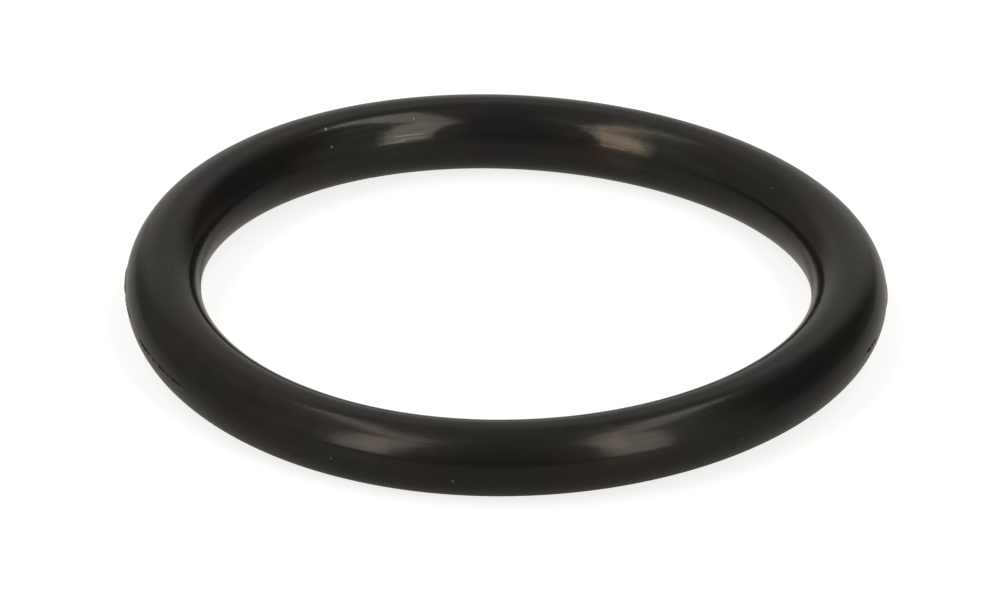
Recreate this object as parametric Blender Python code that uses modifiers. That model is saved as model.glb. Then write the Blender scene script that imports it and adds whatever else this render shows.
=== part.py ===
"""A moulded rubber O-ring that lies free on a table.

It is one piece: a round section carried round the Z axis, with the thin line of flash that the two
halves of the mould left at mid height, on the outer wall and on the wall of the hole. The origin is
the ring's centre at mid height, and +Z is the ring's axis, up as it lies.
"""

import math

import bpy

# Driving dimensions, in metres
INSIDE_DIAMETER = 0.0242
SECTION_DIAMETER = 0.0030

# The line of flash, where the two halves of the mould met
FLASH_HEIGHT = 0.00005
FLASH_ROOT_WIDTH = 0.00014
FLASH_TIP_WIDTH = 0.00006

# The free ring is round in plan but has taken a slight set out of flat, like a saddle: how far it rises
# at two opposite high points, and sinks at the two low points between them, and the angle from +X to
# one of the high points
SADDLE_HEIGHT = 0.000175
SADDLE_TURN = math.radians(-33.5)

# Facets from the flash up to the crown, and round the ring. The quarter of the ring holds a whole number.
FACETS_TO_CROWN = 8
FACETS_ROUND = 120

RUBBER_COLOUR = (0.017, 0.017, 0.015, 1.0)
RUBBER_ROUGHNESS = 0.34

SECTION_RADIUS = SECTION_DIAMETER / 2
CENTRE_LINE_RADIUS = INSIDE_DIAMETER / 2 + SECTION_RADIUS


def clear_scene():
    for thing in list(bpy.data.objects):
        bpy.data.objects.remove(thing, do_unlink=True)


def collection_for(name):
    collection = bpy.data.collections.new(name)
    bpy.context.scene.collection.children.link(collection)
    return collection


def rubber():
    material = bpy.data.materials.new("black_rubber")
    material.use_nodes = True
    shader = material.node_tree.nodes["Principled BSDF"]
    shader.inputs["Base Color"].default_value = RUBBER_COLOUR
    shader.inputs["Roughness"].default_value = RUBBER_ROUGHNESS
    shader.inputs["Metallic"].default_value = 0.0
    material.diffuse_color = RUBBER_COLOUR
    return material


def quarter_arc():
    """Points of the section from the crown down to the flash, as (outwards, up) from its centre.

    The crown ends in half a facet, so the ring lies on a narrow flat. Each facet touches the true circle
    at its middle, which keeps the section's height exact.
    """
    flash_angle = math.asin(FLASH_ROOT_WIDTH / 2 / SECTION_RADIUS)
    facet = (math.pi / 2 - flash_angle) / (FACETS_TO_CROWN + 0.5)
    corner_radius = SECTION_RADIUS / math.cos(facet / 2)
    angles = [flash_angle + facet * step for step in range(FACETS_TO_CROWN, 0, -1)]
    points = [(corner_radius * math.cos(angle), corner_radius * math.sin(angle)) for angle in angles]
    points.append((SECTION_RADIUS * math.cos(flash_angle), FLASH_ROOT_WIDTH / 2))
    points.append((SECTION_RADIUS + FLASH_HEIGHT, FLASH_TIP_WIDTH / 2))
    return points


def section_outline():
    """The closed section, down its outer side and up its inner side, with a line of flash on each."""
    upper = quarter_arc()
    outer_side = upper + [(outwards, -up) for outwards, up in reversed(upper)]
    inner_side = [(-outwards, up) for outwards, up in reversed(outer_side)]
    return outer_side + inner_side


def turned_ring(name, collection):
    """The section carried once round the Z axis by a Screw modifier."""
    outline = section_outline()
    corners = [(CENTRE_LINE_RADIUS + outwards, 0.0, up) for outwards, up in outline]
    edges = [(index, (index + 1) % len(corners)) for index in range(len(corners))]
    profile = bpy.data.meshes.new(name + "_section")
    profile.from_pydata(corners, edges, [])
    ring = bpy.data.objects.new(name, profile)
    collection.objects.link(ring)
    turn = ring.modifiers.new("turn", "SCREW")
    turn.axis = "Z"
    turn.angle = 2 * math.pi
    turn.steps = FACETS_ROUND
    turn.render_steps = FACETS_ROUND
    turn.use_merge_vertices = True
    turn.merge_threshold = 0.000002
    turn.use_smooth_shade = True
    return ring


def saddle_lift(turn):
    """How far the section lies above mid height at this angle round the ring."""
    return SADDLE_HEIGHT * math.cos(2 * (turn - SADDLE_TURN))


def relax(ring):
    """Replace the turned ring's mesh by the shape that it takes when it lies free."""
    graph = bpy.context.evaluated_depsgraph_get()
    mesh = bpy.data.meshes.new_from_object(ring.evaluated_get(graph))
    for vertex in mesh.vertices:
        vertex.co.z += saddle_lift(math.atan2(vertex.co.y, vertex.co.x))
    section = ring.data
    ring.modifiers.clear()
    ring.data = mesh
    bpy.data.meshes.remove(section)
    mesh.name = ring.name
    mesh.shade_smooth()
    mesh.set_sharp_from_angle(angle=math.radians(30))


def main():
    clear_scene()
    parts = collection_for("o_ring_parts")
    ring = turned_ring("o_ring", parts)
    relax(ring)
    ring.data.materials.append(rubber())


main()
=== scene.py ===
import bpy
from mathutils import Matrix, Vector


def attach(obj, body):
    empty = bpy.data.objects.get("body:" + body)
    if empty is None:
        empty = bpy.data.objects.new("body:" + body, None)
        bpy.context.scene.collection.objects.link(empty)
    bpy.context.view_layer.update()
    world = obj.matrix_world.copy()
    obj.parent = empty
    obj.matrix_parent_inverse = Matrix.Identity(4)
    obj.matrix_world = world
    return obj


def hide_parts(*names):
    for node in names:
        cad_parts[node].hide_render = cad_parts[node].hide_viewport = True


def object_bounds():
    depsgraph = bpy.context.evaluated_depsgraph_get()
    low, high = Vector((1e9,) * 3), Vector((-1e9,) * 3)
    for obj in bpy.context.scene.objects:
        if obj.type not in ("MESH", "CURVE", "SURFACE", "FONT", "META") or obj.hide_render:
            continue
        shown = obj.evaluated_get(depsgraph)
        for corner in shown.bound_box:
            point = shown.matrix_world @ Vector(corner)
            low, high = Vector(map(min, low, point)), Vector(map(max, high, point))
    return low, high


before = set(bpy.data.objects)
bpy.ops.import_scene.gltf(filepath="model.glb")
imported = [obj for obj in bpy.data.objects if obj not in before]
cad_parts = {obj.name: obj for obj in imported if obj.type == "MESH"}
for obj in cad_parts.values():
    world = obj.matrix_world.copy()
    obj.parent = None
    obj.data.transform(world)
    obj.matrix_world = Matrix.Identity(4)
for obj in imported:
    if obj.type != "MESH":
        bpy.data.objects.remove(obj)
cad_box = [list(corner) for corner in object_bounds()]

import math

import bpy
from mathutils import Matrix, Vector

# The ring's driving dimensions, the same as in the part's source, in metres
CENTRE_LINE_RADIUS = 0.0136
SECTION_RADIUS = 0.0015
FLASH_HEIGHT = 0.00005
FLASH_ROOT_WIDTH = 0.00014
SADDLE_HEIGHT = 0.000175
SADDLE_TURN = math.radians(-33.5)

# How finely the dressed ring is divided, round the ring and round its section
STEPS_ROUND = 900
STEPS_SECTION = 96
# How strongly the rows crowd together at the two lines of flash; at 0.5 they would meet there
ROW_CROWDING = 0.465

# The photograph's frame and the camera that was fitted to the ring's outlines in it
FRAME_WIDTH = 1000
FRAME_HEIGHT = 591
CAMERA_DISTANCE = 0.694
CAMERA_ELEVATION = math.radians(28.38)
CAMERA_ROLL = math.radians(0.868)
PIXELS_PER_RADIUS = 342.99
RING_CENTRE_PIXEL = (506.2, 290.5)
SENSOR_WIDTH = 36.0
CLIP_START = 0.01
CLIP_END = 10.0

# The height of the flash is the sum of these shares of its full height: what is left all along both walls,
# what varies there, and what stands proud in the stretches below
FLASH_LEFT = 0.03
FLASH_UNEVEN = 0.09
FLASH_PROUD = 0.88

# Stretches of the outer wall where the flash stands proud: middle and half length round the ring, in
# degrees from +X, how much of the full flash height it reaches, and how ragged it is
OUTER_FLASH = [
    (178.8, 4.6, 0.9, 0.2),
    (187.0, 5.0, 0.5, 0.9),
    (205.0, 9.0, 1.0, 1.0),
    (342.6, 3.2, 0.9, 1.0),
    (0.5, 5.0, 0.5, 0.3),
]

# The rubber's colours in broad and fine patches, and the colour of the dust on it
WARM_BLACK = (0.0124, 0.0097, 0.0094, 1.0)
GREEN_BLACK = (0.0090, 0.0106, 0.0084, 1.0)
SLATE_BLACK = (0.0074, 0.0080, 0.0092, 1.0)
DUST_COLOUR = (0.19, 0.18, 0.16, 1.0)

# How fine the patterns in the rubber are, in features to the metre
BROAD_PATCHES = 210.0
FINE_PATCHES = 900.0
GLOSS_PATCHES = 420.0
DUST_CELLS = 900.0
GRAIN = 6500.0
MOTTLE = 2300.0
SWELL = 700.0
EDGE_WOBBLE = 9000.0

# The relief of the rubber: its depth in metres, and the weight of each pattern in it
RELIEF_DEPTH = 0.0000022
GRAIN_RELIEF = 0.35
MOTTLE_RELIEF = 1.6
SWELL_RELIEF = 2.0
TOOL_MARK_RELIEF = 0.6
DUST_RELIEF = 6.0

# How far noise moves the edges of stains, of patches of painted reflection and of rubbed patches, of dust
# and scuffs, and of wax, in metres
RAGGED_PATCH_EDGE = 0.0030
RAGGED_DUST = 0.00005
RAGGED_WAX = 0.0012

# The gloss of the bare rubber and of the mould wax on it
BASE_ROUGHNESS = 0.08
RUBBED_ROUGHNESS = 0.055
PATCHY_ROUGHNESS = 0.06
STREAKY_ROUGHNESS = 0.03
DUST_ROUGHNESS = 0.5
FLASH_ROUGHNESS = 0.5
BARE_SPECULAR = 0.205
WAXED_SPECULAR = 0.50
WAX_TINT = (1.0, 0.87, 0.73, 1.0)
WAX_IN_STREAKS = 0.27
WAX_IN_SCUFFS = 0.8

# The duller band above mid height on the wall of the hole, where the flash was trimmed: the angles round
# the section, in radians, at which it begins, is full, begins to end and has ended, and what it adds
TRIMMED_BAND = (2.71, 2.90, 3.02, 3.13)
TRIMMED_ROUGHNESS = 0.22

# Pale specks of dust: place round the ring and round the section, in degrees, radius in metres, and how
# much of the rubber they hide
DUST_SPECKS = [
    (124.5, 116.0, 0.000070, 1.0),
    (125.0, 146.0, 0.000048, 0.8),
    (107.5, 126.0, 0.000055, 1.0),
    (243.5, -3.0, 0.000048, 0.45),
    (262.5, -11.0, 0.000048, 0.7),
    (33.5, 128.0, 0.000045, 0.25),
    (308.0, -6.0, 0.000045, 0.2),
]

# Faint stains in the rubber, and two brown patches of painted reflection of the table on the wall of the
# hole
# at its right and left ends: place round the ring and round the section, in degrees, radius in metres and
# colour
# Brown, for stains and for the painted reflection of the table on the wall of the hole
BROWN_STAIN_AND_REFLECTION = (0.0150, 0.0096, 0.0084, 1.0)
OLIVE = (0.0084, 0.0100, 0.0074, 1.0)
BLUE_BLACK = (0.0080, 0.0085, 0.0106, 1.0)
STAINS_AND_PAINTED_REFLECTIONS = [
    # The first two are a painted reflection of the table, not stains; the rest are stains
    (12.0, 166.0, 0.0024, BROWN_STAIN_AND_REFLECTION),
    (162.0, 168.0, 0.0026, BROWN_STAIN_AND_REFLECTION),
    (289.0, -22.0, 0.0034, BROWN_STAIN_AND_REFLECTION),
    (330.0, -20.0, 0.0022, BROWN_STAIN_AND_REFLECTION),
    (72.0, 148.0, 0.0012, BROWN_STAIN_AND_REFLECTION),
    (90.0, 134.0, 0.0024, BLUE_BLACK),
    (150.0, 130.0, 0.0024, BLUE_BLACK),
    (322.0, 52.0, 0.0026, BLUE_BLACK),
    (268.0, 8.0, 0.0026, OLIVE),
    (335.0, 14.0, 0.0018, OLIVE),
    (196.0, 12.0, 0.0026, OLIVE),
]

# Smears of mould wax, a little yellow and glossier than the rubber: place round the ring and round the
# section, in degrees, radius in metres, and how much they cover
WAX_SMEARS = [
    (68.2, 148.5, 0.00140, 1.0),
    (109.0, 140.0, 0.00130, 0.22),
    (113.5, 122.0, 0.00045, 0.35),
    (250.0, 33.0, 0.00080, 0.3),
    (286.0, 33.0, 0.00080, 0.4),
]

# Patches rubbed dull: place round the ring and round the section, in degrees, radius in metres, and the
# roughness that they add
DULL_PATCHES = [
    (66.0, 119.0, 0.0016, 0.11),
    (60.0, 116.0, 0.0012, 0.06),
]

# Fine scuffs along the ring, polished bright: middle and half length round the ring, place round the
# section, in degrees, and half width in metres
SCUFFS = [
    (109.2, 3.6, 151.5, 0.000050),
    (112.6, 3.4, 160.0, 0.000045),
    (108.0, 4.4, 157.0, 0.000022),
    (121.6, 4.4, 117.0, 0.000018),
    (70.0, 3.0, 157.0, 0.000040),
    (66.0, 2.0, 147.0, 0.000035),
]


class Link:
    """A node's output. Arithmetic on it adds the Math nodes that work the expression out."""

    def __init__(self, graph, socket):
        self.graph = graph
        self.socket = socket

    def math(self, operation, *others):
        inputs = dict(enumerate((self,) + others))
        return self.graph.node("ShaderNodeMath", {"operation": operation}, inputs)

    def __add__(self, other):
        return self.math("ADD", other)

    def __radd__(self, other):
        return self.math("ADD", other)

    def __sub__(self, other):
        return self.math("SUBTRACT", other)

    def __rsub__(self, other):
        return self.graph.node("ShaderNodeMath", {"operation": "SUBTRACT"}, {0: other, 1: self})

    def __mul__(self, other):
        return self.math("MULTIPLY", other)

    def __rmul__(self, other):
        return self.math("MULTIPLY", other)

    def __truediv__(self, other):
        return self.math("DIVIDE", other)

    def __abs__(self):
        return self.math("ABSOLUTE")

    def cos(self):
        return self.math("COSINE")

    def sin(self):
        return self.math("SINE")

    def sqrt(self):
        return self.math("SQRT")

    def atan2(self, other):
        return self.math("ARCTAN2", other)

    def at_most(self, other):
        return self.math("MINIMUM", other)

    def fade(self, start, end):
        """0 at start and beyond, 1 at end and beyond, with a smooth step. Start may be the larger."""
        low, high = min(start, end), max(start, end)
        from_value, to_value = (0.0, 1.0) if start < end else (1.0, 0.0)
        return self.graph.node(
            "ShaderNodeMapRange",
            {"interpolation_type": "SMOOTHSTEP"},
            {0: self, 1: low, 2: high, 3: from_value, 4: to_value},
        )


class Graph:
    """A node tree that is filled by calls to node()."""

    def __init__(self, tree):
        self.tree = tree
        tree.nodes.clear()

    def node(self, kind, settings=None, inputs=None, output=0):
        """Add a node of this kind, make its settings, set or link its sockets, and return one output."""
        node = self.tree.nodes.new(kind)
        for name, value in (settings or {}).items():
            setattr(node, name, value)
        for name, value in (inputs or {}).items():
            if isinstance(value, Link):
                self.tree.links.new(value.socket, node.inputs[name])
            else:
                node.inputs[name].default_value = value
        return Link(self, node.outputs[output]) if len(node.outputs) else node

    def split(self, vector):
        """The three numbers of a vector."""
        first = self.node("ShaderNodeSeparateXYZ", None, {0: vector})
        node = first.socket.node
        return [Link(self, node.outputs[axis]) for axis in range(3)]

    def join(self, x, y, z):
        return self.node("ShaderNodeCombineXYZ", None, {0: x, 1: y, 2: z})

    def mix_colour(self, factor, first, second):
        """A mix of two colours, by the Mix node's colour sockets, which share their names with others."""
        settings = {"data_type": "RGBA"}
        return self.node("ShaderNodeMix", settings, {0: factor, 6: first, 7: second}, output=2)

    def seen_directly(self):
        """1 where the camera sees a surface itself or through glass, 0 for the light that it sends out."""
        first = self.node("ShaderNodeLightPath")
        outputs = first.socket.node.outputs
        return (first + Link(self, outputs["Is Transmission Ray"])).at_most(1.0)

    def distance(self, first, second):
        settings = {"operation": "DISTANCE"}
        return self.node("ShaderNodeVectorMath", settings, {0: first, 1: second}, output="Value")

    def mix_shader(self, factor, first, second):
        return self.node("ShaderNodeMixShader", None, {0: factor, 1: first, 2: second})

    def noise(self, vector, scale, detail=2.0, roughness=0.5):
        return self.node(
            "ShaderNodeTexNoise",
            {"noise_dimensions": "3D"},
            {"Vector": vector, "Scale": scale, "Detail": detail, "Roughness": roughness},
        )


def saddle_lift(turn):
    """How far the section lies above mid height at this angle round the ring, as in the part's source."""
    return SADDLE_HEIGHT * math.cos(2 * (turn - SADDLE_TURN))


def place_on_ring(turn_degrees, round_degrees):
    """The point of the rubber's surface at these angles round the ring and round its section."""
    turn = math.radians(turn_degrees)
    around = math.radians(round_degrees)
    reach = CENTRE_LINE_RADIUS + SECTION_RADIUS * math.cos(around)
    height = saddle_lift(turn) + SECTION_RADIUS * math.sin(around)
    return Vector((reach * math.cos(turn), reach * math.sin(turn), height))


def proud_stretches(turn, whole):
    """How proud the outer flash stands, from 0 to 1, by the angle round the ring and where it is whole."""
    total = 0.0
    for middle, half_length, reach, ragged in OUTER_FLASH:
        half = math.radians(half_length)
        off = (turn - math.radians(middle)).cos()
        left = whole * ragged + (1.0 - ragged)
        total = off.fade(math.cos(half), math.cos(half * 0.55)) * reach * left + total
    return total


def left_whole(graph, turn, around):
    """1 where the flash was left whole and 0 where it was torn off, in short lengths round the ring."""
    path = graph.join(turn.cos() * 60.0, turn.sin() * 60.0, around.cos() * 0.5)
    return graph.noise(path, 1.6, detail=2.0, roughness=0.6).fade(0.42, 0.52)


def ring_tree():
    """Geometry nodes that carry the section, with its line of flash, round the saddle-shaped centre line."""
    tree = bpy.data.node_groups.new("moulded_ring", "GeometryNodeTree")
    sizes = {
        "Centre Line Radius": CENTRE_LINE_RADIUS,
        "Section Radius": SECTION_RADIUS,
        "Flash Height": FLASH_HEIGHT,
        "Flash Root Width": FLASH_ROOT_WIDTH,
        "Saddle Height": SADDLE_HEIGHT,
        "Saddle Turn": SADDLE_TURN,
    }
    counts = {"Steps Round": STEPS_ROUND, "Steps Section": STEPS_SECTION, "Seed": 7}
    for name in sizes:
        tree.interface.new_socket(name, in_out="INPUT", socket_type="NodeSocketFloat")
    for name in counts:
        tree.interface.new_socket(name, in_out="INPUT", socket_type="NodeSocketInt")
    tree.interface.new_socket("Rubber", in_out="INPUT", socket_type="NodeSocketMaterial")
    tree.interface.new_socket("Mesh", in_out="OUTPUT", socket_type="NodeSocketGeometry")

    graph = Graph(tree)
    inlet = tree.nodes.new("NodeGroupInput")
    given = {socket.name: Link(graph, socket) for socket in inlet.outputs if socket.name}

    counts_of_grid = {"Vertices X": given["Steps Round"] + 1, "Vertices Y": given["Steps Section"] + 1}
    grid = graph.node("GeometryNodeMeshGrid", None, {"Size X": 1.0, "Size Y": 1.0, **counts_of_grid})
    along, across, _ = graph.split(graph.node("GeometryNodeInputPosition"))
    turn = (along + 0.5) * (2 * math.pi)
    share = (across + 0.5) * (2 * math.pi)
    around = share - ROW_CROWDING * (share * 2).sin()

    # The flash on both walls: a low smooth ridge, uneven round the ring and torn off in places
    seed_shift = given["Seed"] * 3.7
    along_path = graph.join(turn.cos() * 9.0 + seed_shift, turn.sin() * 9.0, around.cos() * 0.5)
    uneven = graph.noise(along_path, 1.3, detail=3.0, roughness=0.6).fade(0.30, 0.72)
    outer_side = around.cos().fade(-0.1, 0.1)
    proud = proud_stretches(turn, left_whole(graph, turn, around)) * outer_side
    ridge_height = given["Flash Height"] * (uneven * FLASH_UNEVEN + FLASH_LEFT + proud * FLASH_PROUD)
    off_mid_height = abs(around.sin()) * given["Section Radius"]
    ridge = (off_mid_height / (given["Flash Root Width"] * 0.5)).fade(1.0, 0.35)

    reach = given["Section Radius"] + ridge_height * ridge
    from_axis = given["Centre Line Radius"] + reach * around.cos()
    lift = given["Saddle Height"] * ((turn - given["Saddle Turn"]) * 2).cos()
    height = lift + reach * around.sin()
    place = graph.join(from_axis * turn.cos(), from_axis * turn.sin(), height)

    placed = graph.node("GeometryNodeSetPosition", None, {"Geometry": grid, "Position": place})
    closed = graph.node("GeometryNodeMergeByDistance", None, {"Geometry": placed, "Distance": 0.000001})
    smooth = graph.node("GeometryNodeSetShadeSmooth", None, {"Geometry": closed, "Shade Smooth": True})
    real = graph.node("GeometryNodeRealizeInstances", None, {"Geometry": smooth})
    painted = graph.node("GeometryNodeSetMaterial", None, {"Geometry": real, "Material": given["Rubber"]})
    outlet = tree.nodes.new("NodeGroupOutput")
    tree.links.new(painted.socket, outlet.inputs["Mesh"])
    return tree, {**sizes, **counts}


def dressed_ring(material):
    """The ring at full detail, as a plain mesh at the origin."""
    tree, values = ring_tree()
    holder = bpy.data.objects.new("ring_maker", bpy.data.meshes.new("ring_maker"))
    bpy.context.scene.collection.objects.link(holder)
    maker = holder.modifiers.new("moulded_ring", "NODES")
    maker.node_group = tree
    values["Rubber"] = material
    for item in tree.interface.items_tree:
        if item.in_out == "INPUT":
            maker[item.identifier] = values[item.name]
    graph = bpy.context.evaluated_depsgraph_get()
    mesh = bpy.data.meshes.new_from_object(holder.evaluated_get(graph))
    bpy.data.objects.remove(holder)
    mesh.name = "rubber_ring"
    ring = bpy.data.objects.new("rubber_ring", mesh)
    bpy.context.scene.collection.objects.link(ring)
    return ring


# Light reaches the ring from two upright soft boxes in front, and from strips that hang level overhead
LEFT_LAMP_COLOUR = (1.0, 0.90, 0.76)
RIGHT_LAMP_COLOUR = (1.0, 0.95, 0.84)
LIGHT_RADIANCE = 4.15

# Each box has its azimuth from the camera's side, positive to the right, its elevation, its half sizes as
# shares of its distance, its turn about its own axis, and its colour
BOX_DISTANCE = 1.6
SOFT_BOXES = {
    "left_box": (-43.8, 33.3, 0.149, 0.412, 3.8, LEFT_LAMP_COLOUR),
    "right_box": (40.4, 32.8, 0.154, 0.486, -4.4, RIGHT_LAMP_COLOUR),
}

# Each strip runs between two points, to the right and away from the camera's side. These and its half
# width are shares of its height. Then come how bright it is beside the boxes, and its colour.
STRIP_HEIGHT = 1.4
OVERHEAD_STRIPS = {
    "left_strip": ((-0.418, -0.50), (-0.362, 0.41), 0.062, 0.82, LEFT_LAMP_COLOUR),
    "left_strip_inner_edge": ((-0.320, -0.46), (-0.316, -0.10), 0.036, 0.70, LEFT_LAMP_COLOUR),
    "right_strip": ((0.386, -0.46), (0.345, 0.34), 0.104, 0.83, RIGHT_LAMP_COLOUR),
    "right_strip_end": ((0.362, 0.34), (0.398, 0.455), 0.066, 0.81, RIGHT_LAMP_COLOUR),
}

# The room that the rubber mirrors is dark, with paler parts: the azimuth and elevation of each, how far
# it reaches from there, in degrees, and how bright it is
ROOM = {
    "backdrop": (-179.0, 23.0, 40.0, 0.54),
    "backdrop_left": (-146.0, 16.0, 26.0, 0.09),
    "backdrop_top": (168.0, 59.0, 31.0, 0.38),
    "left_wall": (-95.0, 42.0, 56.0, 0.42),
    "left_wall_top": (-128.0, 58.0, 24.0, 0.16),
    "front_wall": (0.0, 46.0, 42.0, 0.18),
    "left_box_skirt": (-50.0, 18.0, 38.0, 0.34),
    "left_box_inner_edge": (-29.0, 38.0, 15.0, 0.18),
    "left_box_top": (-72.0, 54.0, 20.0, 0.20),
    "right_box_skirt": (50.0, 20.0, 38.0, 0.58),
    "right_box_top": (68.0, 54.0, 20.0, 0.42),
    "left_strip_skirt": (-74.0, 72.0, 21.0, 0.32),
    "right_strip_skirt": (84.0, 70.0, 23.0, 0.42),
    "ceiling": (0.0, 80.0, 48.0, 0.10),
}
# Each part is at its brightest within this share of its reach
FULL_WITHIN = 0.3
# The walls are a little paler just above the table, which lights them: by how much, and the sines of the
# elevations at which that ends and is full
FOOT_OF_WALLS = 0.15
FOOT_ENDS = 0.34
FOOT_FULL = 0.02
ROOM_COLOUR = (1.0, 0.975, 0.93, 1.0)


def direction(azimuth, elevation):
    """The unit vector from the ring towards this azimuth, counted from the camera's side, and elevation."""
    az, el = math.radians(azimuth), math.radians(elevation)
    return Vector((math.cos(el) * math.sin(az), -math.cos(el) * math.cos(az), math.sin(el)))


def lamp(name, place, side, upward, half_width, half_height, brightness, colour):
    """A rectangular lamp. It shines the opposite way to the cross product of side and upward."""
    data = bpy.data.lights.new(name, "AREA")
    data.shape = "RECTANGLE"
    data.size = 2 * half_width
    data.size_y = 2 * half_height
    data.energy = LIGHT_RADIANCE * brightness * math.pi * data.size * data.size_y
    data.color = colour
    holder = bpy.data.objects.new(name, data)
    axes = Matrix((side, upward, side.cross(upward))).transposed().to_4x4()
    holder.matrix_world = Matrix.Translation(place) @ axes
    bpy.context.scene.collection.objects.link(holder)


def soft_box(name, azimuth, elevation, half_width, half_height, turned, colour):
    """A lamp that faces the ring's centre, turned a little about its own axis."""
    psi = math.radians(turned)
    towards = direction(azimuth, elevation)
    level = Vector((0, 0, 1)).cross(towards).normalized()
    steep = towards.cross(level)
    side = math.cos(psi) * level + math.sin(psi) * steep
    upward = math.cos(psi) * steep - math.sin(psi) * level
    sizes = (half_width * BOX_DISTANCE, half_height * BOX_DISTANCE)
    lamp(name, towards * BOX_DISTANCE, side, upward, *sizes, 1.0, colour)


def overhead_strip(name, front_end, back_end, half_width, brightness, colour):
    """A lamp that hangs level over the ring and faces down."""
    front = Vector((*front_end, 1.0)) * STRIP_HEIGHT
    back = Vector((*back_end, 1.0)) * STRIP_HEIGHT
    along = (back - front).normalized()
    across = along.cross(Vector((0, 0, 1)))
    sizes = (half_width * STRIP_HEIGHT, (back - front).length / 2)
    lamp(name, (front + back) / 2, across, along, *sizes, brightness, colour)


def dim_room():
    """The world: the room as the rubber mirrors it, and plain white where the camera sees it directly."""
    world = bpy.data.worlds.new("dim_room")
    world.use_nodes = True
    bpy.context.scene.world = world
    graph = Graph(world.node_tree)
    ray = graph.node("ShaderNodeTexCoord", output="Generated")
    room = 0.0
    for azimuth, elevation, reach, brightness in ROOM.values():
        vectors = {0: ray, 1: direction(azimuth, elevation)}
        settings = {"operation": "DOT_PRODUCT"}
        nearness = graph.node("ShaderNodeVectorMath", settings, vectors, output="Value")
        edge, middle = math.cos(math.radians(reach)), math.cos(math.radians(reach * FULL_WITHIN))
        room = nearness.fade(edge, middle) * brightness + room
    _, _, height = graph.split(ray)
    room = height.fade(FOOT_ENDS, FOOT_FULL) * FOOT_OF_WALLS + room
    dark = graph.node("ShaderNodeBackground", None, {"Color": (0.0, 0.0, 0.0, 1.0), "Strength": 1.0})
    pale = graph.node("ShaderNodeBackground", None, {"Color": ROOM_COLOUR, "Strength": 1.0})
    white = graph.node("ShaderNodeBackground", None, {"Color": (1.0, 1.0, 1.0, 1.0), "Strength": 1.0})
    walls = graph.mix_shader(room.at_most(1.0), dark, pale)
    surface = graph.mix_shader(graph.seen_directly(), walls, white)
    graph.node("ShaderNodeOutputWorld", None, {"Surface": surface})


def camera():
    """The camera at the photograph's place: distance, elevation, roll, lens and framing as fitted."""
    lens_pixels = PIXELS_PER_RADIUS / CENTRE_LINE_RADIUS * CAMERA_DISTANCE
    data = bpy.data.cameras.new("camera")
    data.sensor_width = SENSOR_WIDTH
    data.lens = lens_pixels / FRAME_WIDTH * SENSOR_WIDTH
    data.shift_x = (FRAME_WIDTH / 2 - RING_CENTRE_PIXEL[0]) / FRAME_WIDTH
    data.shift_y = (RING_CENTRE_PIXEL[1] - FRAME_HEIGHT / 2) / FRAME_WIDTH
    data.clip_start = CLIP_START
    data.clip_end = CLIP_END
    back = Vector((0, -math.cos(CAMERA_ELEVATION), math.sin(CAMERA_ELEVATION)))
    level_right = Vector((1, 0, 0))
    level_up = back.cross(level_right)
    right = math.cos(CAMERA_ROLL) * level_right + math.sin(CAMERA_ROLL) * level_up
    upward = math.cos(CAMERA_ROLL) * level_up - math.sin(CAMERA_ROLL) * level_right
    holder = bpy.data.objects.new("camera", data)
    axes = Matrix((right, upward, back)).transposed().to_4x4()
    holder.matrix_world = Matrix.Translation(back * CAMERA_DISTANCE) @ axes
    bpy.context.scene.collection.objects.link(holder)
    bpy.context.scene.camera = holder


# The round table's radius, and how many straight sides its rim has
TABLE_RADIUS = 1.30
TABLE_STEPS = 96

# The table's own colour, and the glow that makes it white where the camera sees it
TABLE_COLOUR = (0.30, 0.30, 0.30, 1.0)
GLOW_TO_CAMERA = 0.80

# Its sheen: how bright and how rough, its index of refraction, and how much of the Fresnel share and how
# much everywhere is added to the rest
SHEEN_COLOUR = (0.80, 0.80, 0.80, 1.0)
SHEEN_ROUGHNESS = 0.5
SHEEN_INDEX = 1.4
SHEEN_AT_EDGE = 0.55
SHEEN_EVERYWHERE = 0.06

# The ring hides the room from the table close to the line on which it lies: how far from that line the
# table has half its light, and how much less that is in the hole, which begins over a short edge
CONTACT_SHADE = 0.00075
LESS_SHADE_IN_HOLE = 0.45
HOLE_EDGE = 0.0006

# The table as the rubber mirrors it: its colour, how bright it is close to the ring, what the hole adds,
# and what is lost between two distances from the ring's axis
MIRRORED_COLOUR = (1.0, 0.92, 0.84, 1.0)
MIRRORED_TABLE = 0.28
ADDED_IN_HOLE = 0.08
LOST_FAR_OFF = 0.12
DIMMER_FROM = 0.016
DIMMER_TO = 0.030


def table():
    """The pale round table under the ring, at the lowest point of the CAD model."""
    floor_height = cad_box[0][2]
    turns = [2 * math.pi * step / TABLE_STEPS for step in range(TABLE_STEPS)]
    rim = [(TABLE_RADIUS * math.cos(turn), TABLE_RADIUS * math.sin(turn), floor_height) for turn in turns]
    mesh = bpy.data.meshes.new("table")
    mesh.from_pydata(rim, [], [tuple(range(TABLE_STEPS))])
    top = bpy.data.objects.new("table", mesh)
    bpy.context.scene.collection.objects.link(top)
    mesh.materials.append(pale_table())


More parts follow.
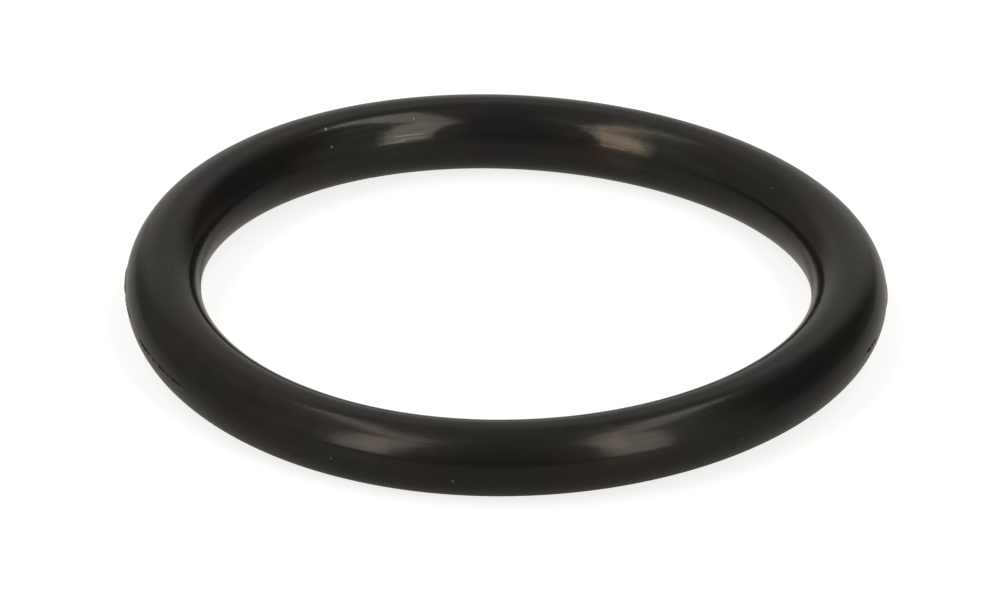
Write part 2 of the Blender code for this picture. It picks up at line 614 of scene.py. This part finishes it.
def pale_table():
    """White where the camera sees it directly. In the rubber's gloss it is dimmer, warm and a little shiny,
    as the photograph has it, where the white was added round the ring later."""
    material = bpy.data.materials.new("pale_table")
    material.use_nodes = True
    graph = Graph(material.node_tree)
    cloth = graph.node("ShaderNodeBsdfDiffuse", None, {"Color": TABLE_COLOUR})
    unlit = graph.node("ShaderNodeEmission", None, {"Color": (0.0, 0.0, 0.0, 1.0), "Strength": 1.0})
    white = graph.node("ShaderNodeEmission", None, {"Color": (1.0, 1.0, 1.0, 1.0), "Strength": 1.0})
    warm = graph.node("ShaderNodeEmission", None, {"Color": MIRRORED_COLOUR, "Strength": 1.0})
    in_gloss = graph.node("ShaderNodeLightPath", output="Is Glossy Ray")
    x, y, _ = graph.split(graph.node("ShaderNodeTexCoord", output="Object"))
    from_axis = (x * x + y * y).sqrt()
    from_contact = abs(from_axis - CENTRE_LINE_RADIUS)
    in_hole = from_axis.fade(CENTRE_LINE_RADIUS, CENTRE_LINE_RADIUS - HOLE_EDGE)
    reach = (1.0 - in_hole * LESS_SHADE_IN_HOLE) * CONTACT_SHADE
    room_seen = from_contact * from_contact / (from_contact * from_contact + reach * reach)
    far_off = from_axis.fade(DIMMER_FROM, DIMMER_TO)
    brightness = in_hole * ADDED_IN_HOLE + MIRRORED_TABLE - far_off * LOST_FAR_OFF
    seen_glow = graph.mix_shader(graph.seen_directly() * GLOW_TO_CAMERA, unlit, white)
    gloss_glow = graph.mix_shader(in_gloss * room_seen * brightness, unlit, warm)
    matt = graph.node("ShaderNodeAddShader", None, {0: cloth, 1: seen_glow})
    matt = graph.node("ShaderNodeAddShader", None, {0: matt, 1: gloss_glow})
    sheen_look = {"Color": SHEEN_COLOUR, "Roughness": SHEEN_ROUGHNESS}
    sheen = graph.node("ShaderNodeBsdfGlossy", None, sheen_look)
    at_edge = graph.node("ShaderNodeFresnel", None, {"IOR": SHEEN_INDEX})
    shiny = (at_edge * SHEEN_AT_EDGE + SHEEN_EVERYWHERE) * in_gloss
    clear = graph.node("ShaderNodeBsdfTransparent")
    from_below = graph.node("ShaderNodeNewGeometry", output="Backfacing")
    surface = graph.mix_shader(from_below, graph.mix_shader(shiny, matt, sheen), clear)
    graph.node("ShaderNodeOutputMaterial", None, {"Surface": surface})
    return material


def rubber():
    """Black moulded rubber, satin, with a fine grain, faint tool marks, mottling and a little dust."""
    material = bpy.data.materials.new("moulded_black_rubber")
    material.use_nodes = True
    graph = Graph(material.node_tree)
    place = graph.node("ShaderNodeTexCoord", output="Object")
    x, y, z = graph.split(place)
    turn = y.atan2(x)
    outwards = (x * x + y * y).sqrt() - CENTRE_LINE_RADIUS
    upwards = z - SADDLE_HEIGHT * ((turn - SADDLE_TURN) * 2).cos()
    around = upwards.atan2(outwards)

    # Broad, faint patches of warm, green and slate black, and the placed stains, two of which are a painted
    # reflection of the table
    broad = graph.noise(place, BROAD_PATCHES, detail=3.0, roughness=0.6)
    fine_patches = graph.noise(graph.join(x + 0.05, y, z), FINE_PATCHES, detail=3.0, roughness=0.6)
    colour = graph.mix_colour(broad.fade(0.42, 0.58), WARM_BLACK, GREEN_BLACK)
    colour = graph.mix_colour(fine_patches.fade(0.45, 0.70) * 0.7, colour, SLATE_BLACK)
    ragged = (fine_patches - 0.5) * RAGGED_PATCH_EDGE
    # Stains, and two patches of painted reflection of the table on the wall of the hole
    for turn_degrees, round_degrees, radius, stain_and_reflection in STAINS_AND_PAINTED_REFLECTIONS:
        gap = graph.distance(place, place_on_ring(turn_degrees, round_degrees))
        colour = graph.mix_colour((gap + ragged).fade(radius, radius * 0.3) * 0.75, colour, stain_and_reflection)

    # Dust: the specks that can be seen, and a sparse scatter of finer ones
    wobble = graph.noise(place, EDGE_WOBBLE, detail=1.0) * RAGGED_DUST - RAGGED_DUST / 2
    dust = 0.0
    for turn_degrees, round_degrees, radius, cover in DUST_SPECKS:
        gap = graph.distance(place, place_on_ring(turn_degrees, round_degrees))
        dust = (gap + wobble).fade(radius * 1.3, radius * 0.6) * cover + dust
    cell_inputs = {"Vector": place, "Scale": DUST_CELLS, "Randomness": 1.0}
    cell = graph.node("ShaderNodeTexVoronoi", {"feature": "F1"}, cell_inputs)
    chance, _, size = graph.split(Link(graph, cell.socket.node.outputs["Color"]))
    scatter = cell.fade(0.035, 0.012) * chance.fade(0.90, 0.93) * (size * 0.3 + 0.1)
    dusty = (dust + scatter).at_most(1.0)
    colour = graph.mix_colour(dusty, colour, DUST_COLOUR)

    # Tool marks run round the ring, as the mould was turned
    lines_path = graph.join(turn.cos() * 5.0, turn.sin() * 5.0, around * 26.0)
    tool_marks = graph.noise(lines_path, 1.0, detail=3.0, roughness=0.65)
    grain = graph.noise(place, GRAIN, detail=3.0, roughness=0.6)
    mottle = graph.noise(place, MOTTLE, detail=2.0, roughness=0.6)
    swell = graph.noise(place, SWELL, detail=2.0)
    relief = grain * GRAIN_RELIEF + mottle * MOTTLE_RELIEF + swell * SWELL_RELIEF
    relief = relief + tool_marks * TOOL_MARK_RELIEF + dusty * DUST_RELIEF
    bump = graph.node("ShaderNodeBump", None, {"Strength": 1.0, "Distance": RELIEF_DEPTH, "Height": relief})

    # The outer wall has been rubbed duller than the wall of the hole, where only a trimmed band above mid
    # height is dull. Both are patchy, and the flash is rough where it stands proud.
    rubbed = around.cos().fade(-0.9, 0.6) * RUBBED_ROUGHNESS
    gloss_patches = graph.noise(place, GLOSS_PATCHES, detail=4.0, roughness=0.65).fade(0.3, 0.7)
    streaks = tool_marks.fade(0.40, 0.66)
    on_flash = (abs(around.sin()) * SECTION_RADIUS / (FLASH_ROOT_WIDTH * 0.6)).fade(1.0, 0.5)
    outer_side = around.cos().fade(-0.1, 0.1)
    proud_flash = on_flash * proud_stretches(turn, left_whole(graph, turn, around)) * outer_side
    begins, full, still_full, ends = TRIMMED_BAND
    trimmed = around.fade(begins, full) * around.fade(ends, still_full) * TRIMMED_ROUGHNESS
    rough = BASE_ROUGHNESS + rubbed
    for turn_degrees, round_degrees, radius, added in DULL_PATCHES:
        gap = graph.distance(place, place_on_ring(turn_degrees, round_degrees))
        rough = (gap + ragged).fade(radius * 1.3, radius * 0.4) * added + rough
    rough = rough + trimmed + gloss_patches * PATCHY_ROUGHNESS + streaks * STREAKY_ROUGHNESS
    rough = rough + dusty * DUST_ROUGHNESS + proud_flash * FLASH_ROUGHNESS

    # Mould wax lies in streaks along the ring and in a few smears, and scuffs are as glossy
    wax_edge = (mottle - 0.5) * RAGGED_WAX
    wax = streaks * gloss_patches * WAX_IN_STREAKS
    for turn_degrees, round_degrees, radius, cover in WAX_SMEARS:
        gap = graph.distance(place, place_on_ring(turn_degrees, round_degrees))
        wax = (gap + wax_edge).fade(radius * 1.2, radius * 0.3) * (streaks * 0.6 + 0.4) * cover + wax
    for turn_degrees, half_length, round_degrees, half_width in SCUFFS:
        off = (turn - math.radians(turn_degrees)).cos()
        half = math.radians(half_length)
        along = off.fade(math.cos(half), math.cos(half * 0.6))
        across = abs(around - math.radians(round_degrees)) * SECTION_RADIUS
        wax = (across + wobble * 0.5).fade(half_width, half_width * 0.3) * along * WAX_IN_SCUFFS + wax
    wax = (wax * (1.0 - proud_flash)).at_most(1.0)

    common = {"Base Color": colour, "Normal": bump}
    bare_look = {"Roughness": rough, "Specular IOR Level": BARE_SPECULAR}
    waxed_look = {"Roughness": rough * 0.8, "Specular IOR Level": WAXED_SPECULAR, "Specular Tint": WAX_TINT}
    bare = graph.node("ShaderNodeBsdfPrincipled", None, {**common, **bare_look})
    waxed = graph.node("ShaderNodeBsdfPrincipled", None, {**common, **waxed_look})
    graph.node("ShaderNodeOutputMaterial", None, {"Surface": graph.mix_shader(wax, bare, waxed)})
    return material


def main():
    scene = bpy.context.scene
    scene.view_settings.view_transform = "Standard"
    camera()
    dim_room()
    for name, measures in SOFT_BOXES.items():
        soft_box(name, *measures)
    for name, measures in OVERHEAD_STRIPS.items():
        overhead_strip(name, *measures)
    table()
    ring = dressed_ring(rubber())
    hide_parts("o_ring")
    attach(ring, "root")
    bpy.context.view_layer.update()


main()
